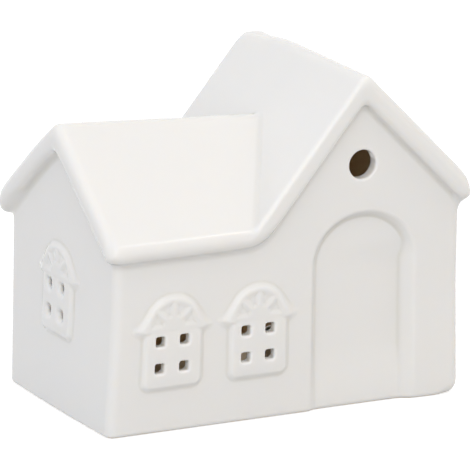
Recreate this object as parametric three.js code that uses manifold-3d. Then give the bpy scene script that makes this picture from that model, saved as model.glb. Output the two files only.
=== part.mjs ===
// A porcelain house that holds a tea light, in millimetres, +Z up.
// The origin is under the middle of the base. The front faces -Y and the long side runs along X.
// The house is one slip-cast shell: a low wing on the left whose ridge runs along X, and a
// tall wing on the right whose ridge runs along Y. A tea light stands on its floor and is
// lifted in and out over the sill of the arch in the back wall.

import * as THREE from 'three';
import { mergeVertices } from 'three/addons/utils/BufferGeometryUtils.js';
import Module from 'manifold-3d';

const wasm = await Module();
wasm.setup();

// Driving dimensions of the walls
const WALL_LENGTH = 150;
const WALL_DEPTH = 88;
const SHELL = 4;
const FLOOR = 4;
const CORNER_RADIUS = 3.5;
const FOOT_RADIUS = 2;

// Driving dimensions of the roofs. Heights are those of the middle of the roof's thickness.
const ROOF_THICKNESS = 8.7;
const ROOF_SHELL = 4.9;
const LOW_EAVE = 72.9;
const LOW_RIDGE_AT_GABLE = 110;
const LOW_RIDGE_FALL = 0.075; // the low ridge sinks this much per millimetre towards the tall wing
const TALL_AXIS = 30.8;
const TALL_RIDGE = 126.7;
const TALL_LEFT_PITCH = 50.4;
const TALL_RIGHT_PITCH = 45.05;
const TALL_EAVE_SHORT = 1.6; // the right eave ends this much before the wall's face, and its round edge beyond it

// Driving dimensions of the openings and the relief
const PANE = 4.2;
const PANE_RADIUS = 1.4;
const PANE_PITCH_ACROSS = 10.3;
const PANE_PITCH_UP = 10.5;
const PANEL_WIDTH = 26;
const PANEL_BELOW = 14.2; // from the middle of the four panes down to the panel's foot
const PANEL_ABOVE = 10.3; // and up to the line that the arched hood springs from
const PANEL_RADIUS = 3.5;
const HOOD_RADIUS = 13.4;
const HORN_REACH = 16.2;
const RELIEF = 1.3;
const RELIEF_EDGE = 0.9;
const FAN_INNER = 4.6;
const FAN_OUTER = 9.9;
const FAN_PANELS = 4;
const FAN_DEPTH = 0.8;
const SPOKE = THREE.MathUtils.degToRad(13);
const GABLE_HOLE = 12.2;
const GABLE_HOLE_PLACE = TALL_AXIS + 0.5;
const GABLE_HOLE_HEIGHT = 95.8;
const DOOR_WIDTH = 46.6;
const DOOR_CENTRE = TALL_AXIS + 1.4;
const DOOR_SPRING = 60;
const DOOR_TOP = 78;
const DOOR_DEPTH = 2.6;
const DOOR_DRAFT = 4.5;
const BACK_ARCH_CENTRE = 28;
const BACK_ARCH_WIDTH = 49;
const BACK_ARCH_TOP = 62;
const BACK_ARCH_SILL = 13.5;

// Places of the four windows: the wall, the position along it and the height of the pane group
const WINDOWS = [
  { wall: 'front', place: -49.9, height: 31 },
  { wall: 'front', place: -13.2, height: 31 },
  { wall: 'left', place: -3.3, height: 43.3 },
  { wall: 'right', place: 3.3, height: 43.3 },
];

// Driving dimensions of the tea light, which is a standard size
const CUP_RADIUS = 18.8;
const CUP_HEIGHT = 16;
const CUP_SHEET = 0.35;
const RIM_RADIUS = 0.45;
const WAX_HEIGHT = 12.2;
const WICK_RADIUS = 0.75;
const WICK_ABOVE_WAX = 7;
const SUSTAINER_RADIUS = 6.3;
const SUSTAINER_SHEET = 0.3;
const NECK_RADIUS = 1.5;
const NECK_HEIGHT = 3.2;
const FIT = 0.2; // the space left between neighbouring pieces
const TEA_LIGHT_PLACE = new THREE.Vector3(BACK_ARCH_CENTRE, -10, FLOOR + FIT);

const HALF_LENGTH = WALL_LENGTH / 2;
const HALF_DEPTH = WALL_DEPTH / 2;
const ROOF_RADIUS = ROOF_THICKNESS / 2;
const TALL_LEFT_RISE = Math.tan(THREE.MathUtils.degToRad(TALL_LEFT_PITCH));
const TALL_RIGHT_RISE = Math.tan(THREE.MathUtils.degToRad(TALL_RIGHT_PITCH));
const TALL_LEFT_FOOT = TALL_AXIS - (TALL_RIDGE - LOW_EAVE) / TALL_LEFT_RISE;
const TALL_EAVE_AT = HALF_LENGTH - TALL_EAVE_SHORT;
const TALL_RIGHT_EAVE = TALL_RIDGE - (TALL_EAVE_AT - TALL_AXIS) * TALL_RIGHT_RISE;
const CLEAR = 10; // how far a cutting solid runs past what it cuts

const X = new THREE.Vector3(1, 0, 0);
const Y = new THREE.Vector3(0, 1, 0);
const Z = new THREE.Vector3(0, 0, 1);

// A wall is named by its outward direction. A drawing on it has u to the right, as seen from
// outside, v upwards, and w out of the wall, with w = 0 on the wall's outer face.
const WALLS = {
  front: { right: X, out: Y.clone().negate(), face: HALF_DEPTH },
  back: { right: X.clone().negate(), out: Y, face: HALF_DEPTH },
  left: { right: Y.clone().negate(), out: X.clone().negate(), face: HALF_LENGTH },
  right: { right: Y, out: X, face: HALF_LENGTH },
};

function solid(geometry) {
  const bare = geometry.clone();
  bare.deleteAttribute('normal');
  bare.deleteAttribute('uv');
  const merged = mergeVertices(bare, 1e-4);
  return new wasm.Manifold(new wasm.Mesh({
    numProp: 3,
    vertProperties: new Float32Array(merged.attributes.position.array),
    triVerts: new Uint32Array(merged.index.array),
  }));
}

function joined(solids) {
  return solids.reduce((whole, next) => whole.add(next));
}

function geometryOf(manifold) {
  const mesh = manifold.getMesh();
  const geometry = new THREE.BufferGeometry();
  geometry.setAttribute('position', new THREE.BufferAttribute(mesh.vertProperties, 3));
  geometry.setIndex(new THREE.BufferAttribute(mesh.triVerts, 1));
  return geometry;
}

// Lays a drawing's extrusion on a wall, starting at the depth given along the outward direction.
function onWall(geometry, wall, place, depth) {
  const { right, out, face } = WALLS[wall];
  const origin = out.clone().multiplyScalar(face + depth).addScaledVector(right, place);
  const frame = new THREE.Matrix4().makeBasis(right, Z, out).setPosition(origin);
  return geometry.applyMatrix4(frame);
}

// Extrudes a Y-Z section along +X, from start.
function alongX(shape, start, length, options = {}) {
  const geometry = new THREE.ExtrudeGeometry(shape, { depth: length, bevelEnabled: false, ...options });
  const frame = new THREE.Matrix4().makeBasis(Y, Z, X).setPosition(start, 0, 0);
  return geometry.applyMatrix4(frame);
}

// Extrudes an X-Z section from the back, at +Y, to the front.
function alongY(shape, start, length, options = {}) {
  const geometry = new THREE.ExtrudeGeometry(shape, { depth: length, bevelEnabled: false, ...options });
  const frame = new THREE.Matrix4().makeBasis(X, Z, Y.clone().negate()).setPosition(0, start, 0);
  return geometry.applyMatrix4(frame);
}

function polygon(points) {
  return new THREE.Shape(points.map(([u, v]) => new THREE.Vector2(u, v)));
}

function roundedRectangle(left, bottom, right, top, radius) {
  const shape = new THREE.Shape();
  shape.absarc(left + radius, bottom + radius, radius, Math.PI, 1.5 * Math.PI);
  shape.absarc(right - radius, bottom + radius, radius, 1.5 * Math.PI, 2 * Math.PI);
  shape.absarc(right - radius, top - radius, radius, 0, 0.5 * Math.PI);
  shape.absarc(left + radius, top - radius, radius, 0.5 * Math.PI, Math.PI);
  return shape;
}

// The section of a roof: two slopes of even thickness, with round eaves and a round ridge.
function roofSection(leftEave, ridge, rightEave, radius) {
  const upNormal = (from, to) => Math.atan2(to.x - from.x, from.y - to.y);
  const left = upNormal(leftEave, ridge);
  const right = upNormal(ridge, rightEave);
  const inside = (left + right) / 2;
  const mitre = radius / Math.cos((left - right) / 2);
  const shape = new THREE.Shape();
  shape.absarc(leftEave.x, leftEave.y, radius, left + Math.PI, left, true);
  shape.absarc(ridge.x, ridge.y, radius, left, right, true);
  shape.absarc(rightEave.x, rightEave.y, radius, right, right - Math.PI, true);
  shape.lineTo(ridge.x - mitre * Math.cos(inside), ridge.y - mitre * Math.sin(inside));
  return shape;
}

// A roof's rakes are as round as its eaves: the ends are bevelled by nearly the whole radius.
const ROUND_RAKES = {
  bevelEnabled: true,
  bevelThickness: ROOF_RADIUS,
  bevelSize: 0.93 * ROOF_RADIUS,
  bevelOffset: -0.93 * ROOF_RADIUS,
  bevelSegments: 4,
  curveSegments: 4,
};

// The low wing's gable shrinks along the wing, because its ridge sinks and its eaves stay level.
function sinkLowRidge(geometry) {
  const position = geometry.attributes.position;
  const rise = LOW_RIDGE_AT_GABLE - LOW_EAVE;
  for (let i = 0; i < position.count; i += 1) {
    const height = position.getZ(i) - LOW_EAVE;
    if (height > 0) {
      const shrink = 1 - (LOW_RIDGE_FALL * (position.getX(i) + HALF_LENGTH)) / rise;
      position.setZ(i, LOW_EAVE + height * shrink);
    }
  }
  return geometry;
}

// Both gable outlines below the middle of the roofs, let down by drop for the hollow inside.
function lowGable(drop, halfWidth, bottom) {
  const rise = (LOW_RIDGE_AT_GABLE - LOW_EAVE) / HALF_DEPTH;
  const edge = LOW_RIDGE_AT_GABLE - rise * halfWidth - drop;
  return polygon([
    [-halfWidth, bottom], [halfWidth, bottom], [halfWidth, edge],
    [0, LOW_RIDGE_AT_GABLE - drop], [-halfWidth, edge],
  ]);
}

function tallGable(drop, left, right, bottom) {
  return polygon([
    [left, bottom], [right, bottom],
    [right, TALL_RIDGE - (right - TALL_AXIS) * TALL_RIGHT_RISE - drop],
    [TALL_AXIS, TALL_RIDGE - drop],
    [left, TALL_RIDGE - (TALL_AXIS - left) * TALL_LEFT_RISE - drop],
  ]);
}

// The walls, solid, up to the middle of the roofs
function wallBlock() {
  const plan = roundedRectangle(-HALF_LENGTH, -HALF_DEPTH, HALF_LENGTH, HALF_DEPTH, CORNER_RADIUS);
  const upright = new THREE.ExtrudeGeometry(plan, {
    depth: TALL_RIDGE,
    bevelThickness: FOOT_RADIUS,
    bevelSize: FOOT_RADIUS,
    bevelOffset: -FOOT_RADIUS,
    bevelSegments: 3,
    curveSegments: 4,
  }).translate(0, 0, FOOT_RADIUS);
  const lowWing = sinkLowRidge(alongX(lowGable(0, HALF_DEPTH, -CLEAR), -HALF_LENGTH - CLEAR,
    HALF_LENGTH + CLEAR + TALL_AXIS / 3));
  const tallWing = alongY(tallGable(0, TALL_LEFT_FOOT, HALF_LENGTH, -CLEAR), HALF_DEPTH + CLEAR,
    WALL_DEPTH + 2 * CLEAR);
  return solid(upright).intersect(solid(lowWing).add(solid(tallWing)));
}

function lowRoof() {
  const section = roofSection(
    new THREE.Vector2(-HALF_DEPTH, LOW_EAVE),
    new THREE.Vector2(0, LOW_RIDGE_AT_GABLE),
    new THREE.Vector2(HALF_DEPTH, LOW_EAVE),
    ROOF_RADIUS,
  );
  const whole = sinkLowRidge(alongX(section, -HALF_LENGTH, HALF_LENGTH + TALL_AXIS, { ...ROUND_RAKES, steps: 4 }));
  const underTallRoof = alongY(polygon([
    [TALL_LEFT_FOOT, -CLEAR], [HALF_LENGTH, -CLEAR], [HALF_LENGTH, TALL_RIDGE],
    [TALL_AXIS, TALL_RIDGE], [TALL_LEFT_FOOT, LOW_EAVE],
  ]), HALF_DEPTH + CLEAR, WALL_DEPTH + 2 * CLEAR);
  return solid(whole).subtract(solid(underTallRoof));
}

function tallRoof() {
  const section = roofSection(
    new THREE.Vector2(TALL_LEFT_FOOT, LOW_EAVE),
    new THREE.Vector2(TALL_AXIS, TALL_RIDGE),
    new THREE.Vector2(TALL_EAVE_AT, TALL_RIGHT_EAVE),
    ROOF_RADIUS,
  );
  return solid(alongY(section, HALF_DEPTH, WALL_DEPTH, ROUND_RAKES));
}

// The hollow that the slip leaves: the same two wings, a shell's thickness in. The slip sets
// to one thickness, so the hollow also follows the windows and the door.
function hollow() {
  const plan = roundedRectangle(SHELL - HALF_LENGTH, SHELL - HALF_DEPTH, HALF_LENGTH - SHELL,
    HALF_DEPTH - SHELL, CORNER_RADIUS);
  const upright = new THREE.ExtrudeGeometry(plan, {
    depth: TALL_RIDGE, bevelEnabled: false, curveSegments: 3,
  }).translate(0, 0, FLOOR);
  const slack = ROOF_SHELL - ROOF_RADIUS;
  const lowWing = sinkLowRidge(alongX(lowGable(slack * 1.3, HALF_DEPTH, 0), -HALF_LENGTH,
    HALF_LENGTH + TALL_AXIS / 3));
  const tallWing = alongY(tallGable(slack * 1.5, TALL_LEFT_FOOT + SHELL, HALF_LENGTH, 0), HALF_DEPTH,
    WALL_DEPTH);
  const reliefs = WINDOWS.flatMap(({ wall, place, height }) => windowRelief().map(
    (relief) => solid(onWall(relief.translate(0, height, 0), wall, place, -SHELL - 1)),
  ));
  return solid(upright)
    .intersect(solid(lowWing).add(solid(tallWing)))
    .subtract(doorRecess(-SHELL))
    .add(joined(reliefs));
}

// A window's relief: a panel with round lower corners, under an arched hood whose ends flare into horns
function windowRelief() {
  const half = PANEL_WIDTH / 2;
  const panel = roundedRectangle(-half, -PANEL_BELOW, half, PANEL_ABOVE + PANEL_RADIUS, PANEL_RADIUS);
  const flare = THREE.MathUtils.degToRad(32);
  const hood = new THREE.Shape();
  const shoulder = HOOD_RADIUS * Math.cos(flare);
  hood.moveTo(-HORN_REACH, PANEL_ABOVE - 1);
  hood.lineTo(HORN_REACH, PANEL_ABOVE - 1);
  hood.lineTo(HORN_REACH, PANEL_ABOVE + 0.6);
  hood.quadraticCurveTo(HOOD_RADIUS, PANEL_ABOVE + 1.5, shoulder, PANEL_ABOVE + HOOD_RADIUS * Math.sin(flare));
  hood.absarc(0, PANEL_ABOVE, HOOD_RADIUS, flare, Math.PI - flare);
  hood.quadraticCurveTo(-HOOD_RADIUS, PANEL_ABOVE + 1.5, -HORN_REACH, PANEL_ABOVE + 0.6);
  const relief = (shape, height) => new THREE.ExtrudeGeometry(shape, {
    depth: 1,
    bevelThickness: height,
    bevelSize: RELIEF_EDGE,
    bevelOffset: -RELIEF_EDGE,
    bevelSegments: 2,
    curveSegments: 4,
  });
  return [relief(panel, RELIEF), relief(hood, RELIEF * 1.15)];
}

// The fan in the hood: sunk panels between the spokes
function fanPanels() {
  const step = Math.PI / FAN_PANELS;
  return Array.from({ length: FAN_PANELS }, (_, i) => {
    const from = i * step + SPOKE / 2;
    const to = (i + 1) * step - SPOKE / 2;
    const wedge = new THREE.Shape();
    wedge.absarc(0, PANEL_ABOVE, FAN_OUTER, from, to);
    wedge.absarc(0, PANEL_ABOVE, FAN_INNER, to, from, true);
    return new THREE.ExtrudeGeometry(wedge, { depth: CLEAR, bevelEnabled: false, curveSegments: 2 });
  });
}

function panes() {
  const holes = [];
  for (const across of [-0.5, 0.5]) {
    for (const up of [-0.5, 0.5]) {
      const u = across * PANE_PITCH_ACROSS;
      const v = up * PANE_PITCH_UP;
      const outline = roundedRectangle(u - PANE / 2, v - PANE / 2, u + PANE / 2, v + PANE / 2, PANE_RADIUS);
      holes.push(new THREE.ExtrudeGeometry(outline, { depth: 2 * CLEAR, bevelEnabled: false, curveSegments: 2 }));
    }
  }
  return holes;
}

function withWindow(house, wall, place, height) {
  const at = (geometry, depth) => solid(onWall(geometry.translate(0, height, 0), wall, place, depth));
  const [panel, hood] = windowRelief();
  const raised = house.add(at(panel, -1)).add(at(hood, -1));
  const fan = fanPanels().map((wedge) => at(wedge, RELIEF * 1.15 - FAN_DEPTH));
  const holes = panes().map((hole) => at(hole, -CLEAR));
  return raised.subtract(joined([...fan, ...holes]));
}

// An arched outline that stands on bottom, with an elliptical top
function archOutline(width, bottom, spring, top) {
  const shape = new THREE.Shape();
  shape.moveTo(-width / 2, bottom);
  shape.lineTo(width / 2, bottom);
  shape.absellipse(0, spring, width / 2, top - spring, 0, Math.PI);
  return shape;
}

// The door: a shallow arched recess with drafted sides, from the depth given
function doorRecess(depth) {
  const outline = archOutline(DOOR_WIDTH, -CLEAR, DOOR_SPRING, DOOR_TOP);
  const recess = new THREE.ExtrudeGeometry(outline, {
    depth: CLEAR,
    bevelThickness: DOOR_DEPTH,
    bevelSize: DOOR_DRAFT,
    bevelOffset: -DOOR_DRAFT,
    bevelSegments: 3,
    curveSegments: 8,
  });
  return solid(onWall(recess, 'front', DOOR_CENTRE, depth));
}

function gableHole() {
  const hole = new THREE.CylinderGeometry(GABLE_HOLE / 2, GABLE_HOLE / 2, 2 * CLEAR, 28);
  return solid(hole.translate(GABLE_HOLE_PLACE, -HALF_DEPTH, GABLE_HOLE_HEIGHT));
}

// The tea light's way in: an arch through the back wall, over a sill
function backArch() {
  const spring = BACK_ARCH_TOP - BACK_ARCH_WIDTH / 2;
  const outline = archOutline(BACK_ARCH_WIDTH, BACK_ARCH_SILL, spring, BACK_ARCH_TOP);
  const arch = new THREE.ExtrudeGeometry(outline, {
    depth: 2 * CLEAR, bevelEnabled: false, curveSegments: 12,
  });
  return solid(onWall(arch, 'back', -BACK_ARCH_CENTRE, -CLEAR));
}

function porcelainHouse() {
  let house = joined([wallBlock(), lowRoof(), tallRoof()]);
  house = house.subtract(doorRecess(0));
  for (const { wall, place, height } of WINDOWS) {
    house = withWindow(house, wall, place, height);
  }
  return geometryOf(house.subtract(joined([hollow(), gableHole(), backArch()])));
}

function revolved(profile, segments) {
  const points = profile.map(([radius, height]) => new THREE.Vector2(radius, height));
  return mergeVertices(bareOf(new THREE.LatheGeometry(points, segments).rotateX(Math.PI / 2)), 1e-4);
}

function bareOf(geometry) {
  geometry.deleteAttribute('normal');
  geometry.deleteAttribute('uv');
  return geometry;
}

// The cup: drawn from thin sheet, with its edge rolled outwards
function tealightCup() {
  const inner = CUP_RADIUS - CUP_SHEET;
  const foot = 1.2;
  const bead = CUP_HEIGHT - RIM_RADIUS;
  return revolved([
    [0, 0],
    [CUP_RADIUS - foot, 0],
    [CUP_RADIUS - 0.3 * foot, 0.3 * foot],
    [CUP_RADIUS, foot],
    [CUP_RADIUS, bead - RIM_RADIUS],
    [CUP_RADIUS + RIM_RADIUS, bead - 0.5 * RIM_RADIUS],
    [CUP_RADIUS + RIM_RADIUS, bead + 0.5 * RIM_RADIUS],
    [CUP_RADIUS, CUP_HEIGHT],
    [inner, bead],
    [inner, foot],
    [inner - 0.7 * foot, CUP_SHEET],
    [0, CUP_SHEET],
  ], 40);
}

// The wax: cast round the sustainer and the wick, and drawn up a little where it meets them and the cup
function tealightWax() {
  const outer = CUP_RADIUS - CUP_SHEET - FIT;
  const plate = SUSTAINER_RADIUS + FIT;
  const neck = NECK_RADIUS + FIT;
  const hole = WICK_RADIUS + FIT;
  return revolved([
    [plate, 0],
    [outer - 1, 0],
    [outer, 1],
    [outer, WAX_HEIGHT + 0.5],
    [outer - 1.2, WAX_HEIGHT + 0.1],
    [outer * 0.5, WAX_HEIGHT],
    [hole + 1.5, WAX_HEIGHT + 0.1],
    [hole, WAX_HEIGHT + 0.7],
    [hole, NECK_HEIGHT + FIT],
    [neck, NECK_HEIGHT + FIT],
    [neck + 0.4, SUSTAINER_SHEET + FIT],
    [plate, SUSTAINER_SHEET + FIT],
    [plate, 0],
  ], 40).translate(0, 0, CUP_SHEET + FIT);
}

// The sustainer: a tin plate with a neck that grips the wick
function wickSustainer() {
  const bore = WICK_RADIUS + FIT / 2;
  return revolved([
    [bore, 0],
    [SUSTAINER_RADIUS, 0],
    [SUSTAINER_RADIUS, SUSTAINER_SHEET],
    [NECK_RADIUS + 0.4, SUSTAINER_SHEET],
    [NECK_RADIUS, SUSTAINER_SHEET + 0.5],
    [NECK_RADIUS, NECK_HEIGHT],
    [bore, NECK_HEIGHT],
    [bore, 0],
  ], 24).translate(0, 0, CUP_SHEET + FIT);
}

// The wick: a braided cord that stands out of the wax and leans over a little
function tealightWick() {
  const bottom = CUP_SHEET + FIT;
  const waxTop = bottom + WAX_HEIGHT;
  const top = waxTop + WICK_ABOVE_WAX;
  const route = new THREE.CatmullRomCurve3([
    new THREE.Vector3(0, 0, bottom),
    new THREE.Vector3(0, 0, waxTop / 2),
    new THREE.Vector3(0, 0, waxTop + 1),
    new THREE.Vector3(0.3, -0.2, (waxTop + 1 + top) / 2),
    new THREE.Vector3(1.2, -0.8, top),
  ]);
  const section = new THREE.Shape();
  section.absarc(0, 0, WICK_RADIUS, 0, 2 * Math.PI);
  const wick = new THREE.ExtrudeGeometry(section, { steps: 14, curveSegments: 4, extrudePath: route });
  return mergeVertices(bareOf(wick), 1e-4);
}

function piece(name, geometry, color, roughness, metalness) {
  const mesh = new THREE.Mesh(geometry, new THREE.MeshStandardMaterial({ color, roughness, metalness }));
  mesh.name = name;
  return mesh;
}

const teaLight = new THREE.Group();
teaLight.add(
  piece('tealight_cup', tealightCup(), 0xc9cbce, 0.3, 0.9),
  piece('tealight_wax', tealightWax(), 0xf3efe4, 0.45, 0),
  piece('wick_sustainer', wickSustainer(), 0xb4b6b8, 0.35, 0.9),
  piece('tealight_wick', tealightWick(), 0xeae4d4, 0.95, 0),
);
teaLight.position.copy(TEA_LIGHT_PLACE);

const house = new THREE.Group();
house.add(piece('porcelain_house', porcelainHouse(), 0xf2f0ec, 0.12, 0), teaLight);

export default house;
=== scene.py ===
# %% [markdown]
# # A porcelain house for a tea light
#
# The imported model is the frame: it says where every piece is, at its real size, and which
# pieces move together. This script gives those pieces their final surfaces and finishes.
# It starts by loading the frame, whose bare pieces later give their boxes for sizes.

# %% Load the frame
import math

import bpy
import numpy as np
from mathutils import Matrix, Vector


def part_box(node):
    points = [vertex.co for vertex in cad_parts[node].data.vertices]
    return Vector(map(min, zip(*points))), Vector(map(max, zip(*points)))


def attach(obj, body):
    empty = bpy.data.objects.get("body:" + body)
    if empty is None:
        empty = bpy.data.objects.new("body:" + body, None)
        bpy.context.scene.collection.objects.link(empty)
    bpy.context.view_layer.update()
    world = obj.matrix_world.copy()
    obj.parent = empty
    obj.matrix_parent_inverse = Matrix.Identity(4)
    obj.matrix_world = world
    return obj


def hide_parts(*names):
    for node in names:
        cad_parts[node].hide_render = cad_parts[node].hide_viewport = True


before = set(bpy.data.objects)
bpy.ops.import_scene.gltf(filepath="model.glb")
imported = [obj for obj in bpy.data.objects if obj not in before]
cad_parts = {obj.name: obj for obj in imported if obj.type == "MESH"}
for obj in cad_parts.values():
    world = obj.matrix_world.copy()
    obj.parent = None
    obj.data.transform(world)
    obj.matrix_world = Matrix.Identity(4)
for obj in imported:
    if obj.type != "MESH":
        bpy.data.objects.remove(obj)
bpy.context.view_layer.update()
MM = 0.001

# %% [markdown]
# The photograph was taken with a long lens, from the left of the front and a little above.
# The camera's distance and turn come from the straight edges of the walls and roofs. Its
# place is worked out from the angles, so the numbers stay readable. A last slide of less than
# a millimetre, to the right and up, puts the house where the picture has it, so no lens shift
# is needed.

# %% Camera
PICTURE = 470
LENS_PIXELS = 8000
PIXELS_PER_MM = 2.596
AZIMUTH = math.radians(28.33)
ELEVATION = math.radians(15.36)
ROLL = math.radians(0.86)
AIM = np.array([0.0, -1.0, 60.0])
OFF_CENTRE = np.array([-0.38, 0.90])
SENSOR_WIDTH = 36
FARTHEST_SEEN = 20


def camera_axes(azimuth, elevation, roll):
    """Right, up and back of a camera that looks from azimuth to the left of the front."""
    back = np.array([-math.sin(azimuth) * math.cos(elevation),
                     -math.cos(azimuth) * math.cos(elevation), math.sin(elevation)])
    right = np.array([math.cos(azimuth), -math.sin(azimuth), 0.0])
    up = np.cross(back, right)
    c, s = math.cos(roll), math.sin(roll)
    return c * right + s * up, c * up - s * right, back


def make_camera():
    """A camera that looks past AIM from where a millimetre there is PIXELS_PER_MM wide."""
    right, up, back = camera_axes(AZIMUTH, ELEVATION, ROLL)
    distance = LENS_PIXELS / PIXELS_PER_MM
    place = AIM + OFF_CENTRE[0] * right + OFF_CENTRE[1] * up + distance * back
    data = bpy.data.cameras.new("camera")
    data.sensor_width = SENSOR_WIDTH
    data.lens = LENS_PIXELS * SENSOR_WIDTH / PICTURE
    data.clip_end = FARTHEST_SEEN
    camera = bpy.data.objects.new("camera", data)
    bpy.context.scene.collection.objects.link(camera)
    matrix = np.eye(4)
    matrix[:3, 0], matrix[:3, 1], matrix[:3, 2] = right, up, back
    matrix[:3, 3] = place * MM
    camera.matrix_world = matrix.T.tolist()
    bpy.context.scene.camera = camera
    return camera


camera = make_camera()
print("camera at", [round(v, 3) for v in camera.matrix_world.translation])

# %% [markdown]
# A finish is a small network of shader nodes. Written node by node it is hard to read, so a
# class wraps a socket: adding or multiplying two of them adds the Math node that does it.
# Every other node comes from one method, which sets a node's settings first and then its
# sockets.

# %% Shader maths


class Value:
    """A number that changes over a surface: the output socket of a node."""

    def __init__(self, finish, socket):
        self.finish = finish
        self.socket = socket

    def maths(self, operation, *values):
        """A Math node on values, some of which may be plain numbers."""
        return self.finish.node("ShaderNodeMath", {"operation": operation}, dict(enumerate(values)))

    def __add__(self, other):
        return self.maths("ADD", self, other)

    def __sub__(self, other):
        return self.maths("SUBTRACT", self, other)

    def __rsub__(self, other):
        return self.maths("SUBTRACT", other, self)

    def __mul__(self, other):
        return self.maths("MULTIPLY", self, other)

    __radd__ = __add__
    __rmul__ = __mul__

    def between(self, low, high):
        """0 at low, 1 at high, with soft ends."""
        return self.finish.node("ShaderNodeMapRange", {"interpolation_type": "SMOOTHSTEP"},
                                {"Value": self, "From Min": low, "From Max": high})


class Finish:
    """The nodes of a material, or of the world, in the making."""

    def __init__(self, name, owner=None):
        self.owner = owner or bpy.data.materials.new(name)
        self.owner.use_nodes = True
        self.tree = self.owner.node_tree
        self.tree.nodes.clear()

    def node(self, kind, settings=None, inputs=None, output=0):
        """A node of this kind, with its settings and then its sockets, each linked to a value
        or set to a number, and the output that is asked for."""
        node = self.tree.nodes.new(kind)
        for key, value in (settings or {}).items():
            setattr(node, key, value)
        for key, value in (inputs or {}).items():
            if isinstance(value, Value):
                self.tree.links.new(value.socket, node.inputs[key])
            else:
                node.inputs[key].default_value = value
        return Value(self, node.outputs[output]) if node.outputs else None

    def mixed(self, share, first, second):
        """A colour between two others, which are inputs 6 and 7 of a Mix node."""
        return self.node("ShaderNodeMix", {"data_type": "RGBA"},
                         {0: share, 6: first, 7: second}, output=2)

    def attribute(self, name):
        """A number that is kept for each point of the mesh."""
        return self.node("ShaderNodeAttribute", {"attribute_name": name}, output="Fac")

    def place(self):
        """Where a point is, in metres: every piece's own origin is the frame's."""
        return self.node("ShaderNodeTexCoord", output="Object")

    def part(self, vector, axis):
        """One of a vector's three numbers."""
        return self.node("ShaderNodeSeparateXYZ", inputs={0: vector}, output=axis)

    def height(self):
        """The height of a point above the floor, in metres."""
        return self.part(self.place(), "Z")

    def noise(self, scale, detail=2.0, place=None):
        """Soft random patches, with scale of them to the metre."""
        return self.node("ShaderNodeTexNoise", inputs={
            "Vector": place or self.place(), "Scale": scale, "Detail": detail}, output=0)

    def bump(self, height, distance, strength, under=None):
        """A normal that is tilted by a height, in metres, on top of another bump or alone."""
        inputs = {"Height": height, "Distance": distance, "Strength": strength}
        if under:
            inputs["Normal"] = under
        return self.node("ShaderNodeBump", inputs=inputs)

    def seen_white(self, plain, white):
        """White where the camera, a reflection or a refraction looks, and plain where it lights."""
        looks = [self.node("ShaderNodeLightPath", output=ray)
                 for ray in ("Is Camera Ray", "Is Glossy Ray", "Is Transmission Ray")]
        share = looks[0].maths("MAXIMUM", looks[0], looks[1].maths("MAXIMUM", looks[1], looks[2]))
        return self.node("ShaderNodeMixShader", inputs={0: share, 1: plain, 2: white})

    def surface(self, shader, output="ShaderNodeOutputMaterial"):
        """Ends the network, and gives the material or the world."""
        self.node(output, inputs={"Surface": shader})
        return self.owner

    def principled(self, **inputs):
        """The usual surface shader, whose sockets are written with underscores."""
        named = {key.replace("_", " "): value for key, value in inputs.items()}
        return self.surface(self.node("ShaderNodeBsdfPrincipled", inputs=named))


def colour(red, green, blue):
    """A solid colour for a socket."""
    return (red, green, blue, 1.0)


print("shader maths ready")

# %% [markdown]
# Pieces are worked out in millimetres as numpy arrays and put into a mesh in metres. Each one
# rides on a body of the frame, so that it moves with it, and says which material slot it shows
# and which bare piece of the frame it replaces.

# %% Meshes from arrays


def make_piece(name, points, faces, material, body, replaced):
    """A finished piece whose points are in millimetres, riding on a body of the frame."""
    mesh = bpy.data.meshes.new(name)
    mesh.from_pydata((points * MM).tolist(), [], faces.tolist())
    mesh.materials.append(material)
    mesh.shade_smooth()
    piece = bpy.data.objects.new(name, mesh)
    bpy.context.scene.collection.objects.link(piece)
    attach(piece, body)
    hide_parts(replaced)
    return piece


print("points are turned to metres by", MM)

# %% [markdown]
# ## The porcelain shell
#
# The house is slip-cast: liquid clay sets against a plaster mould, is emptied out, and leaves
# one shell with no seam. Every inside corner fills a little, every outside edge wears a
# little round, and the glaze softens both. Separate grids for each wall and roof would leave
# hard joints, so the shell is a field instead: a function of a point that is negative in the
# porcelain, zero on its surface and positive outside, close to the real distance in
# millimetres. Shapes blend by rounding the lesser or the greater of two fields.

# %% Blending fields


def blended_union(a, b, soft):
    """The lesser of two fields. Where they differ by less than soft, the corner is filled by
    a quarter of the square of what is left, over soft."""
    near = np.maximum(soft - np.abs(a - b), 0)
    return np.minimum(a, b) - near * near / (4 * soft)


def blended_cut(a, b, soft):
    """The greater of two fields, with the edge rounded off in the same way."""
    return -blended_union(-a, -b, soft)


def ramp(x, start, end):
    """0 before start, 1 after end, and 3t^2 - 2t^3 between them."""
    t = np.clip((x - start) / (end - start), 0, 1)
    return t * t * (3 - 2 * t)


def graded(first, second, share):
    """A size that goes from first, where share is 0, to second, where share is 1."""
    return first + (second - first) * share


def rectangle(u, v, half_u, half_v, radius):
    """Distance to a rectangle with round corners: the length of what sticks out past its
    inner rectangle, less the radius."""
    past_u = np.abs(u) - half_u + radius
    past_v = np.abs(v) - half_v + radius
    outside = np.hypot(np.maximum(past_u, 0), np.maximum(past_v, 0))
    return outside + np.minimum(np.maximum(past_u, past_v), 0) - radius


def leg(u, v, start, end):
    """Distance to a straight line from start to end: the nearest share along it is the dot
    product over the length squared, kept between 0 and 1."""
    along_u, along_v = end[0] - start[0], end[1] - start[1]
    share = ((u - start[0]) * along_u + (v - start[1]) * along_v) / (along_u**2 + along_v**2)
    share = np.clip(share, 0, 1)
    return np.hypot(u - start[0] - share * along_u, v - start[1] - share * along_v)


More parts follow.
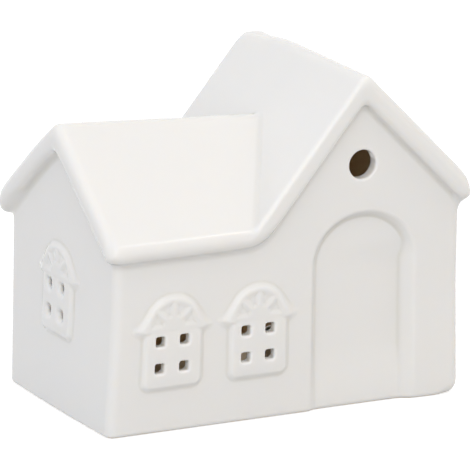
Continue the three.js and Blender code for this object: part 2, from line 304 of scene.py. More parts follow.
def arch(u, v, half_width, spring, top):
    """Distance to an upright outline with an elliptical head, without its lower end: the
    sides below the spring line, and above it the half width times how much larger than the
    head the ellipse through the point is."""
    ellipse = np.hypot(u / half_width, (v - spring) / (top - spring)) - 1
    return np.where(v < spring, np.abs(u) - half_width, ellipse * half_width)


print("fields can be blended")

# %% [markdown]
# The sizes of the two wings come from the frame where it shows them: the overall box is the
# walls and the ridge plus the round edge of the roof. The rest are the same named values as
# the construction uses, and how widely each edge and crease is rounded.

# %% Sizes of the house
box_low, box_high = (np.array(corner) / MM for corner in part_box("porcelain_house"))
ROOF_RADIUS = 4.35
HALF_LENGTH = -box_low[0] - ROOF_RADIUS
HALF_DEPTH = box_high[1] - ROOF_RADIUS
TALL_RIDGE = box_high[2] - ROOF_RADIUS
SHELL = 4.0
FLOOR = 4.0
CORNER_RADIUS, CORNER_RADIUS_RIGHT = 3.5, 4.0
LOW_EAVE = 72.9
LOW_RIDGE_AT_GABLE = 110.0
LOW_RIDGE_FALL = 0.075
TALL_AXIS = 30.8
TALL_LEFT_RISE = math.tan(math.radians(50.4))
TALL_RIGHT_RISE = math.tan(math.radians(45.05))
TALL_LEFT_FOOT = TALL_AXIS - (TALL_RIDGE - LOW_EAVE) / TALL_LEFT_RISE
TALL_EAVE_SHORT = 1.1
TALL_RIGHT_EAVE = TALL_RIDGE - (HALF_LENGTH - TALL_EAVE_SHORT - TALL_AXIS) * TALL_RIGHT_RISE
ROOF_SHELL = 4.9

FOOT_SOFT, FOOT_SOFT_RIGHT, FOOT_RIGHT_FROM = 1.9, 6.0, 0.85
EAVE_SOFT, RAKE_SOFT, RIGHT_EAVE_FILL = 3.0, 2.0, 3.0
LOW_RIDGE_SOFT, TALL_RIDGE_SOFT, VALLEY_SOFT = 4.0, 5.4, 1.5
TOP_EDGE, TOP_EDGE_FRONT = 4.6, 2.0
UNDER_EAVE, UNDER_RAKE = 4.6, 3.4
ELBOW_SOFT, ELBOW_RISE, APEX_SOFT, ROOF_CORNER_SOFT = 5.5, 1.4, 4.0, 5.1
ELBOW_START, ELBOW_END, EAVE_TO_RAKE = -35, 15, 8
RAKE_THINNER, REAR_EAVE_DEEPER, RIGHT_EAVE_DEEPER = 0.85, 4.0, 2.7
REAR_EAVE_FROM, FRONT_BOARD_SOFT, FRONT_BOARD_END = 0.7, 3, 8
INSIDE_SOFT, INNER_EDGE_SOFT = 5.0, 1.0
EDGE_SOFT, EDGE_SOFT_LEFT = 1.0, 3.0
print("walls", 2 * HALF_LENGTH, "by", 2 * HALF_DEPTH, "ridge", round(TALL_RIDGE, 2))

# %% [markdown]
# The windows and the door are low relief: a height over the wall that depends only on the
# place across and up it. The hood of a window is a disc blended with a bar, which makes its
# ends flare into horns. Its fan is sunk between spokes, and the door is sunk as a whole.

# %% Relief on the walls
PANEL_HALF = 13.0
PANEL_BELOW, PANEL_ABOVE = 14.2, 10.3
PANEL_RADIUS = 4.0
HOOD_RADIUS, HOOD_BELOW, HOOD_SOFT = 13.2, 1.5, 2.0
HORN_REACH, HORN_DROP, HORN_HALF = 16.0, 0.2, 0.9
HORN_FLARE, HOOD_TO_PANEL = 7.0, 1.5
HORN_FADE, HORN_LOWER = (PANEL_HALF - 1.5, HORN_REACH + 1), 0.6
RELIEF = 1.6
RELIEF_OUT, RELIEF_IN = 0.6, 2.2
RELIEF_CROWN, CROWN_REACH = 0.15, 6
RELIEF_IN_HOLLOW = -2.0, 2.5
FAN_INNER, FAN_OUTER, FAN_ABOVE = 4.6, 9.8, 0.6
FAN_DEPTH, FAN_SOFT = 0.48, (-0.8, 1.5)
SPOKE_HALF, SPOKE_TURN = 0.8, math.pi / 4
PANE, PANE_LEFT_WALL, PANE_RADIUS, PANE_TAPER = 3.85, 2.7, 0.8, 0.1
PANE_ACROSS, PANE_UP = 10.3, 10.5
DOOR_CENTRE = TALL_AXIS + 1.7
DOOR_HALF = 23.3
DOOR_SPRING, DOOR_TOP = 57.0, 78.0
DOOR_HEAD = DOOR_SPRING - 2, DOOR_SPRING + 8
DOOR_DEPTH, DOOR_DEEPER_RIGHT = 2.7, 1.0
DOOR_FOOT_SHARE, DOOR_FOOT_RISE = 0.55, 25
DOOR_DRAFT_LEFT, DOOR_DRAFT_RIGHT, DOOR_RIGHT_SIDE = 4.2, 6.6, (10, 16)
GABLE_HOLE, GABLE_HOLE_PLACE, GABLE_HOLE_HEIGHT = 11.4, TALL_AXIS + 0.6, 95.8
COLLAR, COLLAR_FADE = 1.2, (8, 15)


def window_panel(u, v):
    """Distance to the panel round a window's four panes, whose middle is at 0, 0."""
    middle = (PANEL_ABOVE - PANEL_BELOW) / 2
    return rectangle(u, v - middle, PANEL_HALF, (PANEL_ABOVE + PANEL_BELOW) / 2, PANEL_RADIUS)


def fan_wedges(u, up):
    """Distance to the nearest wedge of the fan: the ring between two radii, less the spokes,
    which stand an eighth of a turn apart, and less what is below the hood."""
    around = np.hypot(u, up)
    turn = np.arctan2(up, u) / SPOKE_TURN
    from_spoke = around * np.abs(np.sin((turn - np.round(turn)) * SPOKE_TURN))
    ring = np.maximum(FAN_INNER - around, around - FAN_OUTER)
    return np.maximum(np.maximum(ring, SPOKE_HALF - from_spoke), FAN_ABOVE - up)


def window_relief(u, v):
    """Height of a window over its wall: steep at the outline, then a gentle crown, with lower
    horns, and less the fan."""
    up = v - PANEL_ABOVE
    disc = blended_cut(np.hypot(u, up) - HOOD_RADIUS, -up - HOOD_BELOW, HOOD_SOFT)
    horns = leg(u, up, (-HORN_REACH, -HORN_DROP), (HORN_REACH, -HORN_DROP)) - HORN_HALF
    hood = blended_union(disc, horns, HORN_FLARE)
    outline = blended_union(hood, window_panel(u, v), HOOD_TO_PANEL)
    steep = ramp(-outline, -RELIEF_OUT, RELIEF_IN)
    crown = ramp(-outline, 0, CROWN_REACH)
    height = RELIEF * ((1 - RELIEF_CROWN) * steep + RELIEF_CROWN * crown)
    height = height * (1 - HORN_LOWER * ramp(np.abs(u), *HORN_FADE))
    return height - FAN_DEPTH * ramp(-fan_wedges(u, up), *FAN_SOFT)


def window_relief_inside(u, v):
    """The same window on the inside, where the slip has rounded it off."""
    disc = np.hypot(u, v - PANEL_ABOVE) - HOOD_RADIUS
    return RELIEF * ramp(-np.minimum(window_panel(u, v), disc), *RELIEF_IN_HOLLOW)


def pane_holes(u, v, out, pane):
    """Distance to the nearest of a window's four panes. Inwards they get narrower and round."""
    deep = ramp(-out, 0, SHELL)
    half = pane / 2 - PANE_TAPER * deep
    radius = graded(PANE_RADIUS, half, deep)
    return rectangle(np.abs(u) - PANE_ACROSS / 2, np.abs(v) - PANE_UP / 2, half, half, radius)


def door_relief(u, v):
    """Height of the door, which is below the wall and so negative. It gets shallower towards
    the foot and the left. Its sides slope, the right one more gently below the head."""
    aside = u - DOOR_CENTRE
    upright = 1 - ramp(v, *DOOR_HEAD)
    draft = graded(DOOR_DRAFT_LEFT, DOOR_DRAFT_RIGHT, ramp(aside, *DOOR_RIGHT_SIDE) * upright)
    depth = DOOR_DEPTH + DOOR_DEEPER_RIGHT * ramp(aside, -DOOR_HALF, DOOR_HALF) * upright
    depth = depth * graded(DOOR_FOOT_SHARE, 1, ramp(v, 0, DOOR_FOOT_RISE))
    inset = -arch(aside, v, DOOR_HALF, DOOR_SPRING, DOOR_TOP)
    return -depth * ramp(inset / draft, 0, 1)


print("a window stands out by", RELIEF, "and the door is sunk by", DOOR_DEPTH)

# %% [markdown]
# Each wall is seen from outside, with u to the right and v up. A window is given by its wall,
# the place and the height of its middle, how far its panes were set to the left of it, and a
# pane's width. What is on a wall counts only near that wall, so each relief fades out between
# two depths behind the wall's face.

# %% Walls and windows
WINDOWS = [("front", -49.9, 31.1, 0.4, PANE), ("front", -13.2, 31.1, 0.4, PANE),
           ("left", -2.2, 43.3, 1.3, PANE_LEFT_WALL), ("right", 3.3, 43.3, 0.4, PANE)]
WINDOW_FADE, DOOR_FADE = (-4, -2), (-8, -4)
WINDOW_FADE_INSIDE, DOOR_FADE_INSIDE = (-9, -7), (-11, -9)


def on_wall(wall, x, y, z):
    """(u, v, how far a point is in front of the wall's face)."""
    if wall == "front":
        return x, z, -y - HALF_DEPTH
    if wall == "back":
        return -x, z, y - HALF_DEPTH
    if wall == "left":
        return -y, z, -x - HALF_LENGTH
    return y, z, x - HALF_LENGTH


def low_ridge(x):
    """Height of the low wing's ridge, which falls evenly towards the tall wing."""
    return LOW_RIDGE_AT_GABLE - LOW_RIDGE_FALL * (x + HALF_LENGTH)


def slopes(x, y, z):
    """How far a point is over the middle of each of the four slopes: its height over the
    slope times the cosine of the pitch."""
    rise = (low_ridge(x) - LOW_EAVE) / HALF_DEPTH
    low_front, low_back = ((z - low_ridge(x) + side * rise * y) / np.sqrt(1 + rise * rise)
                           for side in (-1, 1))
    left = (z - TALL_RIDGE + (TALL_AXIS - x) * TALL_LEFT_RISE) / math.hypot(1, TALL_LEFT_RISE)
    right = (z - TALL_RIDGE + (x - TALL_AXIS) * TALL_RIGHT_RISE) / math.hypot(1, TALL_RIGHT_RISE)
    return low_front, low_back, left, right


def under_roofs(x, y, z, drop):
    """The space below the middle of the roofs, which are let down by drop."""
    low_front, low_back, left, right = slopes(x, y, z)
    low = np.maximum(np.maximum(low_front, low_back) + drop, x - TALL_AXIS)
    tall = np.maximum(np.maximum(left, right) + drop, TALL_LEFT_FOOT - x)
    return np.minimum(low, tall)


def walls(x, y, z):
    """The block inside the walls' faces, up to the roofs, with the relief added to its plan
    and a rounded foot."""
    radius = graded(CORNER_RADIUS, CORNER_RADIUS_RIGHT, ramp(x, 0, HALF_LENGTH))
    plan = rectangle(x, y, HALF_LENGTH, HALF_DEPTH, radius)
    for wall, place, height, _, _ in WINDOWS:
        u, v, out = on_wall(wall, x, y, z)
        plan = plan - window_relief(u - place, v - height) * ramp(out, *WINDOW_FADE)
    u, v, out = on_wall("front", x, y, z)
    plan = plan - door_relief(u, v) * ramp(out, *DOOR_FADE)
    right = ramp(x, FOOT_RIGHT_FROM * HALF_LENGTH, HALF_LENGTH)
    upright = blended_cut(plan, -z, graded(FOOT_SOFT, FOOT_SOFT_RIGHT, right))
    return np.maximum(upright, under_roofs(x, y, z, 0))


def above_eave(z):
    """0 up to the low eave, and 1 from where the rakes begin."""
    return ramp(z, LOW_EAVE, LOW_EAVE + EAVE_TO_RAKE)


def roofs(x, y, z):
    """Both roofs: thick slopes that end in flat boards all round, with rounded edges. The
    lower edge of the low eave rises a little towards the tall wing and hangs deeper at the
    rear. The upper edge of the boards that face the front, left of the tall ridge, is less
    round than the others."""
    low_front, low_back, left, right = slopes(x, y, z)
    low_top = np.maximum(blended_cut(low_front, low_back, LOW_RIDGE_SOFT), x - TALL_AXIS)
    top = blended_union(low_top, blended_cut(left, right, TALL_RIDGE_SOFT), VALLEY_SOFT)
    below_low = -blended_cut(low_front, low_back, APEX_SOFT)
    below_tall = -blended_cut(left - RAKE_THINNER, right, APEX_SOFT)
    rear = ramp(y, REAR_EAVE_FROM * HALF_DEPTH, HALF_DEPTH)
    elbow = ramp(x, ELBOW_START, ELBOW_END)
    low_edge = LOW_EAVE - z + ELBOW_RISE * elbow - REAR_EAVE_DEEPER * rear
    below_left = np.maximum(blended_cut(below_tall, low_edge, ELBOW_SOFT), below_low)
    below_right = blended_cut(below_tall, TALL_RIGHT_EAVE - RIGHT_EAVE_DEEPER - z, UNDER_EAVE)
    below = np.where(x < TALL_AXIS, below_left, below_right)
    sides = np.maximum(-HALF_LENGTH - x, x - HALF_LENGTH + TALL_EAVE_SHORT)
    ends = blended_cut(np.abs(y) - HALF_DEPTH, sides, ROOF_CORNER_SOFT)
    facing = ramp(-y - HALF_DEPTH - sides, -FRONT_BOARD_SOFT, FRONT_BOARD_SOFT)
    facing = facing * ramp(TALL_AXIS - x, -FRONT_BOARD_END, FRONT_BOARD_END)
    upper = blended_cut(top, ends, graded(TOP_EDGE, TOP_EDGE_FRONT, facing))
    lower = blended_cut(below, ends, graded(UNDER_EAVE, UNDER_RAKE, above_eave(z)))
    return np.maximum(upper, lower) - ROOF_RADIUS


def hollow(x, y, z):
    """The space that the slip leaves: the walls' plan and the roofs' slopes, a shell in. It
    sets to one thickness, so the hollow also follows the windows and the door, and a little
    thicker round the hole in the gable."""
    plan = rectangle(x, y, HALF_LENGTH - SHELL, HALF_DEPTH - SHELL, CORNER_RADIUS)
    for wall, place, height, _, _ in WINDOWS:
        u, v, out = on_wall(wall, x, y, z)
        plan = plan - window_relief_inside(u - place, v - height) * ramp(out, *WINDOW_FADE_INSIDE)
    u, v, out = on_wall("front", x, y, z)
    plan = plan - door_relief(u, v) * ramp(out, *DOOR_FADE_INSIDE)
    from_hole = np.hypot(u - GABLE_HOLE_PLACE, v - GABLE_HOLE_HEIGHT)
    plan = plan + COLLAR * (1 - ramp(from_hole, *COLLAR_FADE)) * ramp(out, *DOOR_FADE_INSIDE)
    upright = blended_cut(plan, FLOOR - z, INSIDE_SOFT)
    return blended_cut(upright, under_roofs(x, y, z, ROOF_SHELL - ROOF_RADIUS), INSIDE_SOFT)


print("left foot of the tall roof at", round(TALL_LEFT_FOOT, 2),
      "right eave at", round(TALL_RIGHT_EAVE, 2))

# %% [markdown]
# The openings are cut last, with their edges rounded as a wet sponge rounds them: the panes,
# the round hole in the gable, and the arch at the back, over its sill. The fire then moves
# the whole house a little, so the field is asked where each point was before that.

# %% Openings and the whole field
ARCH_CENTRE, ARCH_HALF, ARCH_TOP, ARCH_SILL, SILL_SOFT = 28.0, 24.5, 62.0, 13.5, 3.0
CUT_DEPTH = 9.0
FRONT_LEAN, REAR_LEAN = 0.7, 0.45
FRONT_SPREAD, REAR_SPREAD, LEFT_BOW = 1.8, 0.2, 0.8
CORNER_SPREAD, SPREAD_RISE, LEAN_RISE = 1.8, 0.7, 1.4
LOW_SAG, GABLE_SAG, LOW_SAG_WIDTH, LOW_SAG_LENGTH = 0.35, 1.2, 8.6, 0.35
REAR_SAG, REAR_SAG_WIDTH, REAR_SAG_FROM = 2.7, 4.0, 0.3
REAR_EAVE_LIFT, UPPER_FROM = 1.2, 0.8
RIGHT_EAVE_FROM, LEFT_PANES = 0.93, (0.9, 0.95)


def openings(x, y, z):
    """Distance to the nearest opening, each ending a little inside the hollow."""
    cuts = []
    for wall, place, height, aside, pane in WINDOWS:
        u, v, out = on_wall(wall, x, y, z)
        holes = pane_holes(u - place + aside, v - height, out, pane)
        cuts.append(np.maximum(holes, -out - CUT_DEPTH))
    u, v, out = on_wall("front", x, y, z)
    hole = np.hypot(u - GABLE_HOLE_PLACE, v - GABLE_HOLE_HEIGHT) - GABLE_HOLE / 2
    cuts.append(np.maximum(hole, -out - CUT_DEPTH))
    u, v, out = on_wall("back", x, y, z)
    doorway = arch(u + ARCH_CENTRE, v, ARCH_HALF, ARCH_TOP - ARCH_HALF, ARCH_TOP)
    doorway = blended_cut(doorway, ARCH_SILL - v, SILL_SOFT)
    cuts.append(np.maximum(doorway, -out - CUT_DEPTH))
    return np.minimum.reduce(cuts)


def fired(x, y, z):
    """Where a point was before the kiln moved it. Each movement is a size in millimetres times
    a share that fades away from its place: the left wall leans in, more at the front as it
    rises, the walls spread at their feet, the ridges sag and the rear left eave lifts."""
    left, right = (np.clip(side * x / HALF_LENGTH, 0, 1) ** 2 for side in (-1, 1))
    front = np.clip(0.5 - y / (2 * HALF_DEPTH), 0, 1)
    low = 1 - ramp(z, 0, SPREAD_RISE * LOW_EAVE)
    below_eave = ramp(-z, -LEAN_RISE * LOW_EAVE, -LOW_EAVE)
    lean = FRONT_LEAN * z / LOW_EAVE * front + REAR_LEAN * (1 - front)
    spread = FRONT_SPREAD * front + REAR_SPREAD * (1 - front) + LEFT_BOW * 4 * front * (1 - front)
    move_x = (lean - spread * low) * left * below_eave
    move_y = -CORNER_SPREAD * low * right * front
    rear = ramp(y, 0, HALF_DEPTH)
    near_low_ridge = np.exp(-((y / LOW_SAG_WIDTH) ** 2))
    low_sag = graded(LOW_SAG, GABLE_SAG, left) * near_low_ridge
    low_sag = low_sag * ramp(-x, 0, LOW_SAG_LENGTH * HALF_LENGTH)
    near_tall_ridge = np.exp(-(((x - TALL_AXIS) / REAR_SAG_WIDTH) ** 2))
    tall_sag = REAR_SAG * ramp(y, REAR_SAG_FROM * HALF_DEPTH, HALF_DEPTH) * near_tall_ridge
    upper = ramp(z, UPPER_FROM * LOW_EAVE, LOW_EAVE)
    move_z = (REAR_EAVE_LIFT * rear * left - low_sag - tall_sag) * upper
    return x - move_x, y - move_y, z - move_z


def porcelain(x, y, z):
    """The whole house: the walls and the roofs, with their crease filled, less the hollow and
    the openings."""
    x, y, z = fired(x, y, z)
    crease = graded(EAVE_SOFT, RAKE_SOFT, above_eave(z))
    crease = crease + RIGHT_EAVE_FILL * ramp(x, RIGHT_EAVE_FROM * HALF_LENGTH, HALF_LENGTH)
    outside = blended_union(walls(x, y, z), roofs(x, y, z), crease)
    shell = blended_cut(outside, -hollow(x, y, z), INNER_EDGE_SOFT)
    left = ramp(-x, LEFT_PANES[0] * HALF_LENGTH, LEFT_PANES[1] * HALF_LENGTH)
    return blended_cut(shell, -openings(x, y, z), graded(EDGE_SOFT, EDGE_SOFT_LEFT, left))


print("porcelain at the middle of the floor:", round(float(porcelain(0.0, 0.0, FLOOR / 2)), 2))

# %% [markdown]
# The field becomes a mesh on a grid of small cells. Each cell that the surface passes
# through gets one point, in the middle of where the surface crosses the cell's edges. Each
# crossed edge gets one face, which joins the points of the four cells round it. All of this
# is done with whole arrays. Then every point slides along the field's slope onto the exact
# surface.

# %% From a field to a surface
SLABS = 24
FIELD_STEP = 0.1
LEAST_SLOPE = 0.25


def grid_points(axes):
    """One point per crossed cell, and one face per crossed edge, from a field on a grid."""
    values = np.concatenate([
        porcelain(*np.meshgrid(part, axes[1], axes[2], indexing="ij")).astype(np.float32)
        for part in np.array_split(axes[0], SLABS)])
    inside = values < 0
    cells = tuple(n - 1 for n in values.shape)
    total = np.zeros(cells + (3,), np.float32)
    count = np.zeros(cells, np.uint8)
    crossings = []
    for axis in range(3):
        first = tuple(slice(None, -1) if i == axis else slice(None) for i in range(3))
        second = tuple(slice(1, None) if i == axis else slice(None) for i in range(3))
        at = np.argwhere(inside[first] != inside[second])
        start, end = values[first][tuple(at.T)], values[second][tuple(at.T)]
        place = at.astype(np.float32)
        place[:, axis] += start / (start - end)
        across = [i for i in range(3) if i != axis]
        round_edge = []
        for step_a, step_b in ((-1, -1), (0, -1), (0, 0), (-1, 0)):
            cell = at.copy()
            cell[:, across[0]] += step_a
            cell[:, across[1]] += step_b
            index = np.ravel_multi_index(cell.T, cells)
            np.add.at(total.reshape(-1, 3), index, place)
            np.add.at(count.reshape(-1), index, 1)
            round_edge.append(index)
        quads = np.stack(round_edge, axis=1)
        flip = (start > 0) == (axis != 1)
        quads[flip] = quads[flip][:, ::-1]
        crossings.append(quads)
    used = np.flatnonzero(count)
    number = np.zeros(count.size, np.int64)
    number[used] = np.arange(used.size)
    mean = total.reshape(-1, 3)[used] / count.reshape(-1)[used, None]
    origin = np.array([axis[0] for axis in axes])
    step = np.array([axis[1] - axis[0] for axis in axes])
    return origin + mean * step, number[np.concatenate(crossings)]


def slope_and_bend(points, reach):
    """The field, its slope and its bend at points, from its values a reach away each way. The
    bend is those six values, less six times the one at the point, over the reach squared."""
    here = porcelain(*points.T)
    slope = np.empty_like(points)
    bend = -6 * here
    for axis in range(3):
        step = np.zeros(3)
        step[axis] = reach
        ahead, behind = porcelain(*(points + step).T), porcelain(*(points - step).T)
        slope[:, axis] = (ahead - behind) / (2 * reach)
        bend += ahead + behind
    return here, slope, bend / reach**2


def onto_surface(points, rounds=2):
    """Moves each point along the slope by the field over the slope's length squared."""
    for _ in range(rounds):
        here, slope, _ = slope_and_bend(points, FIELD_STEP)
        points = points - slope * (here / np.maximum((slope**2).sum(1), LEAST_SLOPE))[:, None]
    return points


print("the field is worked out in", SLABS, "slabs")

# %% [markdown]
# The plain parts of the walls don't need as many faces as the panes do. A Decimate modifier
# takes out the faces that change the shape least, and the points that are left are put back
# onto the exact surface. The field's slope there gives the normals, so that the glaze shades
# as smoothly as the formula, even where the faces are large. The field's bend says where
# glaze pools, in the creases, which also get painted shade, and where it runs thin, on the
# edges, and is kept as an attribute for the finish, as is what lies inside the hollow.

# %% The skin of the house
CELL = 0.8
ROOM = 5.0
SKIN_TRIANGLES = 190_000
GLAZE_REACH, NORMAL_REACH = 1.1, 0.15
INSIDE_FADE = -0.3, 0.6


def thinned(mesh, triangles):
    """The mesh with about that many triangles."""
    share = triangles / (2 * len(mesh.polygons))
    if share >= 1:
        return mesh
    scratch = bpy.data.objects.new("scratch", mesh)
    bpy.context.scene.collection.objects.link(scratch)
    scratch.modifiers.new("thin", "DECIMATE").ratio = share
    shown = scratch.evaluated_get(bpy.context.evaluated_depsgraph_get())
    result = bpy.data.meshes.new_from_object(shown)
    bpy.data.objects.remove(scratch)
    return result


def read_points(mesh):
    """The points of a mesh, one to a row."""
    points = np.empty(len(mesh.vertices) * 3)
    mesh.vertices.foreach_get("co", points)
    return points.reshape(-1, 3)


def keep(mesh, name, values):
    """Keeps one number per point on the mesh, for the finish."""
    mesh.attributes.new(name, "FLOAT", "POINT").data.foreach_set("value", values.astype(np.float32))


def make_house(material):
    """The field's surface, thinned, with each point put back onto it. Its normal there is the
    field's slope, made one long."""
    reach = np.array([HALF_LENGTH, HALF_DEPTH]) + ROOF_RADIUS + ROOM
    axes = (np.arange(-reach[0], reach[0], CELL), np.arange(-reach[1], reach[1], CELL),
            np.arange(-2 * CELL, TALL_RIDGE + ROOF_RADIUS + ROOM, CELL))
    points, faces = grid_points(axes)
    points = onto_surface(points)
    piece = make_piece("glazed_house", points, faces, material,
                       "house", "porcelain_house")
    mesh = thinned(piece.data, SKIN_TRIANGLES)
    mesh.name = "glazed_house"
    piece.data = mesh
    points = onto_surface(read_points(mesh) / MM, rounds=1)
    mesh.vertices.foreach_set("co", (points * MM).ravel())
    _, _, bend = slope_and_bend(points, GLAZE_REACH)
    keep(mesh, "bend", bend)
    keep(mesh, "inside", 1 - ramp(hollow(*fired(*points.T)), *INSIDE_FADE))
    _, slope, _ = slope_and_bend(points, NORMAL_REACH)
    normals = slope / np.linalg.norm(slope, axis=1, keepdims=True)
    mesh.shade_smooth()
    mesh.normals_split_custom_set_from_vertices(normals.tolist())
    print("glazed_house:", len(mesh.vertices), "points,", len(mesh.polygons), "faces")
    return piece


print("cells of", CELL, "mm")

# %% [markdown]
# The glaze is a clear coat over white clay. Where it pools in a crease it is thicker and
# darker, and the darker colour there is also painted shade; on an edge it is thin and whiter,
# and here and there it holds an iron speck. A painted picture could say where, but the field's
# bend finds every crease and edge by itself. Light goes a little way in before it comes out
# again. The inside is left bare, and so is the foot, where glaze would stick to the kiln's
# shelf. Bare clay is warmer and duller, and its warm brown is also painted shade there.

# %% Make the porcelain house
GLAZE = colour(0.83, 0.812, 0.782)
GLAZE_WARM = colour(0.84, 0.818, 0.782)
# The crease colour is darker than pooled glaze alone: it is also painted shade in the creases.
GLAZE_POOLED_AND_SHADED = colour(0.71, 0.68, 0.60)
GLAZE_THIN = colour(0.87, 0.852, 0.83)
SPECK = colour(0.2, 0.16, 0.12)
# The bare clay's warm brown is also painted shade: it stands in for the dim inside and the line at
# the foot.
CLAY_AND_SHADE = colour(0.86, 0.71, 0.50)
CLAY_AND_SHADE_DARK = colour(0.80, 0.64, 0.43)
# How the bend gives the creases pooled glaze with painted shade, and the edges thin glaze.
POOLED_AND_SHADED_BEND, THIN_BEND = (0.05, 1.0), (0.1, 0.7)
POOLED_AND_SHADED_SHARE, THIN_SHARE = 0.8, 0.35
BARE_FOOT = 0.0002, 0.0007
SPECKS_PER_METRE, SPECK_RADIUS, SPECKS_LEFT_OUT, SPECK_SHARE = 55.0, 0.012, 0.93, 0.75
LIGHT_REACH, LIGHT_SPREAD = 0.0012, (1.0, 0.92, 0.8)


def specks(finish):
    """A dot in the middle of each of a few cells, which are chosen by their random colour. Its
    radius is a share of a cell."""
    middle, chosen = (finish.node("ShaderNodeTexVoronoi", inputs={
        "Vector": finish.place(), "Scale": SPECKS_PER_METRE, "Randomness": 1.0}, output=output)
        for output in ("Distance", "Color"))
    dot = 1 - middle.between(SPECK_RADIUS, SPECK_RADIUS + 0.008)
    return dot * finish.part(chosen, "X").between(SPECKS_LEFT_OUT, SPECKS_LEFT_OUT + 0.01)


def porcelain_finish():
    """Glaze outside, darker in creases with painted shade, and the unglazed body inside and on the
    foot, whose warm brown also paints shade.
    """
    finish = Finish("white_glaze")
    bend = finish.attribute("bend")
    drift = finish.noise(22, 3)
    inside = (finish.attribute("inside") + (finish.noise(260) - 0.5) * 0.5).between(0.35, 0.65)
    foot = 1 - (finish.height() + (finish.noise(150) - 0.5) * 0.0006).between(*BARE_FOOT)
    bare_and_shaded = inside.maths("MAXIMUM", inside, foot)
    # Creases darken as pooled glaze and as painted shade.
    pooled_and_shaded = (bend * -1).between(*POOLED_AND_SHADED_BEND)
    thin = bend.between(*THIN_BEND)
    glaze = finish.mixed(drift.between(0.3, 0.7), GLAZE, GLAZE_WARM)
    glaze = finish.mixed(pooled_and_shaded * POOLED_AND_SHADED_SHARE, glaze, GLAZE_POOLED_AND_SHADED)
    glaze = finish.mixed(thin * THIN_SHARE, glaze, GLAZE_THIN)
    glaze = finish.mixed(specks(finish) * SPECK_SHARE, glaze, SPECK)
    # Unglazed body inside and on the foot, in a warm brown that also paints the shade there.
    clay_and_shade = finish.mixed(finish.noise(130, 4), CLAY_AND_SHADE, CLAY_AND_SHADE_DARK)
    ripple = finish.bump(finish.noise(38, 1.0), 0.0004, 0.5)
    peel = finish.bump(finish.noise(700, 1.0), 0.00002, 0.5, ripple)
    grain = finish.bump(finish.noise(2600, 2.0) * bare_and_shaded, 0.00005, 0.6, peel)
    return finish.principled(
        Base_Color=finish.mixed(bare_and_shaded, glaze, clay_and_shade),
        Roughness=bare_and_shaded * 0.5 + (drift * 0.06 + 0.1),
        Subsurface_Weight=1.0,
        Subsurface_Radius=LIGHT_SPREAD,
        Subsurface_Scale=LIGHT_REACH,
        Normal=grain,
    )


make_house(porcelain_finish())

# %% [markdown]
# ## The tea light
#
# The tea light stands on the floor of the tall wing, towards the front. Its pieces are
# turned shapes: a profile, in radius and height, goes round an upright axis. A rounded corner
# of a profile is a curve between two points beside the corner, with the corner as its third
# control point.

# %% Turned pieces
TURNS = 120
CUP_LOW, CUP_HIGH = (np.array(corner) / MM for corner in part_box("tealight_cup"))
AXIS = (CUP_LOW + CUP_HIGH) / 2
CUP_FOOT = CUP_LOW[2]


def rounded(corners, radii, steps=6):
    """A path through corners, each cut back by its radius and rounded: the point at t is
    (1-t)^2 start + 2t(1-t) corner + t^2 end."""
    corners = np.array(corners, float)
    path = [corners[0]]
    t = np.linspace(0, 1, steps)[:, None]
    for before, corner, after, radius in zip(corners, corners[1:], corners[2:], radii):
        back, on = before - corner, after - corner
        start = corner + back * min(radius / np.linalg.norm(back), 0.5)
        end = corner + on * min(radius / np.linalg.norm(on), 0.5)
        path.extend((1 - t) ** 2 * start + 2 * t * (1 - t) * corner + t * t * end)
    path.append(corners[-1])
    return np.array(path)


def grid_faces(rows, columns):
    """The four-sided faces of a grid whose rows close into a ring."""
    row, column = np.meshgrid(np.arange(rows), np.arange(columns - 1), indexing="ij")
    after = (row + 1) % rows
    return np.stack([row * columns + column, after * columns + column,
                     after * columns + column + 1, row * columns + column + 1],
                    axis=-1).reshape(-1, 4)


def turned(name, profile, material, replaced, wave=None):
    """A profile of radii and heights, turned about the tea light's axis."""
    turn = np.linspace(0, 2 * math.pi, TURNS, endpoint=False)[:, None]
    radius, height = profile[:, 0][None, :], profile[:, 1][None, :]
    rise = wave(radius, turn) if wave else 0
    points = np.stack(np.broadcast_arrays(AXIS[0] + radius * np.cos(turn),
                                          AXIS[1] + radius * np.sin(turn),
                                          CUP_FOOT + height + rise), axis=-1).reshape(-1, 3)
    faces = grid_faces(TURNS, len(profile))
    return make_piece(name, points, faces, material, "tealight", replaced)


print("tea light stands at", np.round(AXIS[:2], 2), "on", round(CUP_FOOT, 2))

# %% [markdown]
# The cup is drawn from thin aluminium sheet, with its edge rolled outwards over a bead and a
# ring pressed into its bottom. The wax was poured round the wick, so its surface climbs a
# little at the cup and at the wick. The wick stands in the neck of a tinned plate.

# %% Cup, wax and sustainer
CUP_RADIUS, CUP_HEIGHT, CUP_SHEET = 18.8, 16.0, 0.35
BEAD = 0.45
WAX_FOOT, WAX_HEIGHT = 0.55, 12.2
WICK_RADIUS = 0.75
PLATE_RADIUS = 6.3
FIT = 0.2
CLIMB_AT_CUP, CLIMB_AT_CUP_REACH = 0.45, 0.9
CLIMB_AT_WICK, CLIMB_AT_WICK_REACH = 0.6, 0.8
WAX_WAVE = 0.07


